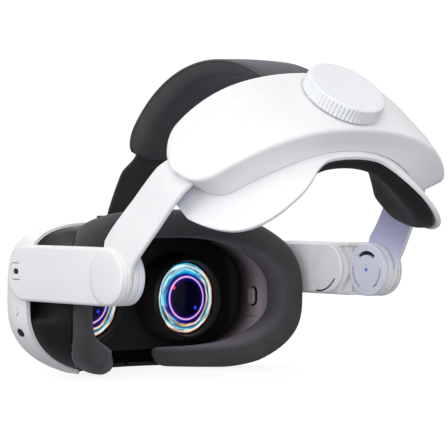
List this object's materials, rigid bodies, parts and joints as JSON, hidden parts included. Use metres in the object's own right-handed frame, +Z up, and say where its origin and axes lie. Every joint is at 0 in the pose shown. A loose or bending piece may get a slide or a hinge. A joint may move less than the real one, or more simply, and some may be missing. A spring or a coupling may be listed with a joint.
{
  "type": "vr headset",
  "caption": "Standalone VR headset with a curved white visor, face cushion, side arms and a rigid halo head strap with a rear adjuster knob.",
  "frame": {"origin": "middle of the flat under the visor, on which the headset rests", "axes": "+X the wearer's left, +Y the wearer's rear, +Z up"},
  "size_m": [0.18, 0.2183, 0.1583],
  "materials": {
    "white_shell": "fine satin",
    "white_soft": "satin",
    "black_smooth": "satin",
    "black_foam": "knit over soft foam",
    "black_leather": "soft coated cloth over foam",
    "black_webbing": "woven",
    "dark_glass": "polished",
    "lens_glass": "coated",
    "board_green": "solder mask with shield cans",
    "display_glass": "polished",
    "battery_wrap": "satin",
    "bright_metal": "brushed",
    "steel": "brushed"
  },
  "bodies": {
    "visor": {"front_shell": "white_shell", "sensor_window_left": "dark_glass", "sensor_window_centre": "dark_glass", "sensor_window_right": "dark_glass", "sensor_module_left": "black_smooth", "sensor_module_centre": "black_smooth", "sensor_module_right": "black_smooth", "side_camera_left": "dark_glass", "side_camera_right": "dark_glass", "rear_housing": "black_smooth", "lens_panel": "black_smooth", "main_board": "board_green", "battery_pack": "battery_wrap", "heat_sink": "bright_metal", "fan_housing": "black_smooth", "strap_anchor": "black_smooth", "top_webbing": "black_webbing", "temple_shell_left": "white_shell", "temple_shell_right": "white_shell", "temple_cover_left": "white_soft", "temple_cover_right": "white_soft", "speaker_left": "bright_metal", "speaker_right": "bright_metal", "clip_plate_left": "white_soft", "clip_plate_right": "white_soft", "retainer_disc_left": "white_soft", "retainer_disc_right": "white_soft", "pivot_pin_left": "steel", "pivot_pin_right": "steel", "pivot_cap_left": "white_shell", "pivot_cap_right": "white_shell", "charging_port": "white_soft"},
    "strap_arms": {"strap_arm_left": "white_shell", "strap_arm_right": "white_shell"},
    "cradle": {"cradle_shell": "white_shell", "cradle_backing": "white_shell", "rear_pad": "black_leather", "top_pad": "black_leather", "pad_anchor_clip": "white_soft"},
    "knob": {"adjuster_knob": "white_shell", "pinion_shaft": "steel"},
    "rack_left": {"rack_left": "white_soft"},
    "rack_right": {"rack_right": "white_soft"},
    "interface": {"interface_frame": "black_smooth", "face_cushion": "black_foam"},
    "release_left": {"release_button_left": "black_smooth"},
    "release_right": {"release_button_right": "black_smooth"},
    "eye_left": {"lens_barrel_left": "black_smooth", "lens_left": "lens_glass", "display_panel_left": "display_glass"},
    "eye_right": {"lens_barrel_right": "black_smooth", "lens_right": "lens_glass", "display_panel_right": "display_glass"},
    "lens_wheel": {"lens_distance_wheel": "black_smooth"},
    "power_button": {"power_button": "white_shell"},
    "volume_rocker": {"volume_rocker": "white_shell"},
    "fan": {"fan_rotor": "black_smooth"}
  },
  "joints": [
    {"name": "strap_tilt", "type": "hinge", "parent": "visor", "child": "strap_arms", "pos_m": [0, 0.1119, 0.0528], "axis": [1, 0, 0], "range_deg": [-60, 8], "deforming": ["top_webbing"]},
    {"name": "cradle_slide", "type": "slide", "parent": "strap_arms", "child": "cradle", "axis": [0, 0.6157, 0.788], "range_m": [-0.006, 0.01]},
    {"name": "knob_turn", "type": "hinge", "parent": "cradle", "child": "knob", "pos_m": [0, 0.18085, 0.14106], "axis": [0, 0.6157, 0.788], "range_deg": [-62, 103]},
    {"name": "rack_left_slide", "type": "slide", "parent": "cradle", "child": "rack_left", "axis": [1, 0, 0], "range_m": [-0.0061, 0.0101]},
    {"name": "rack_right_slide", "type": "slide", "parent": "cradle", "child": "rack_right", "axis": [-1, 0, 0], "range_m": [-0.0061, 0.0101]},
    {"name": "interface_depth", "type": "slide", "parent": "visor", "child": "interface", "axis": [0, 1, 0], "range_m": [0, 0.009]},
    {"name": "release_left_press", "type": "slide", "parent": "interface", "child": "release_left", "axis": [1, 0, 0], "range_m": [0, 0.001], "stiffness_N_per_m": 800},
    {"name": "release_right_press", "type": "slide", "parent": "interface", "child": "release_right", "axis": [-1, 0, 0], "range_m": [0, 0.001], "stiffness_N_per_m": 800},
    {"name": "eye_left_slide", "type": "slide", "parent": "visor", "child": "eye_left", "axis": [1, 0, 0], "range_m": [-0.003, 0.003]},
    {"name": "eye_right_slide", "type": "slide", "parent": "visor", "child": "eye_right", "axis": [-1, 0, 0], "range_m": [-0.00301, 0.00301]},
    {"name": "lens_wheel_turn", "type": "hinge", "parent": "visor", "child": "lens_wheel", "pos_m": [0.024, 0, 0.006], "axis": [1, 0, 0], "range_deg": [-150, 150]},
    {"name": "power_press", "type": "slide", "parent": "visor", "child": "power_button", "axis": [-0.9905, 0.1256, 0.056], "range_m": [0, 0.0008], "stiffness_N_per_m": 800},
    {"name": "volume_press", "type": "slide", "parent": "visor", "child": "volume_rocker", "axis": [0.3136, 0.5619, 0.7654], "range_m": [0, 0.0006], "stiffness_N_per_m": 800},
    {"name": "fan_spin", "type": "hinge", "parent": "visor", "child": "fan", "pos_m": [-0.027, -0.0064, 0.037], "axis": [0, 1, 0], "continuous": true}
  ],
  "couplings": [
    {"joint": "knob_turn", "follows": "cradle_slide", "rad_per_m": 178.57},
    {"joint": "rack_left_slide", "follows": "cradle_slide", "ratio": 1},
    {"joint": "rack_right_slide", "follows": "cradle_slide", "ratio": 1},
    {"joint": "eye_right_slide", "follows": "eye_left_slide", "ratio": 1},
    {"joint": "lens_wheel_turn", "follows": "eye_left_slide", "rad_per_m": 800}
  ]
}
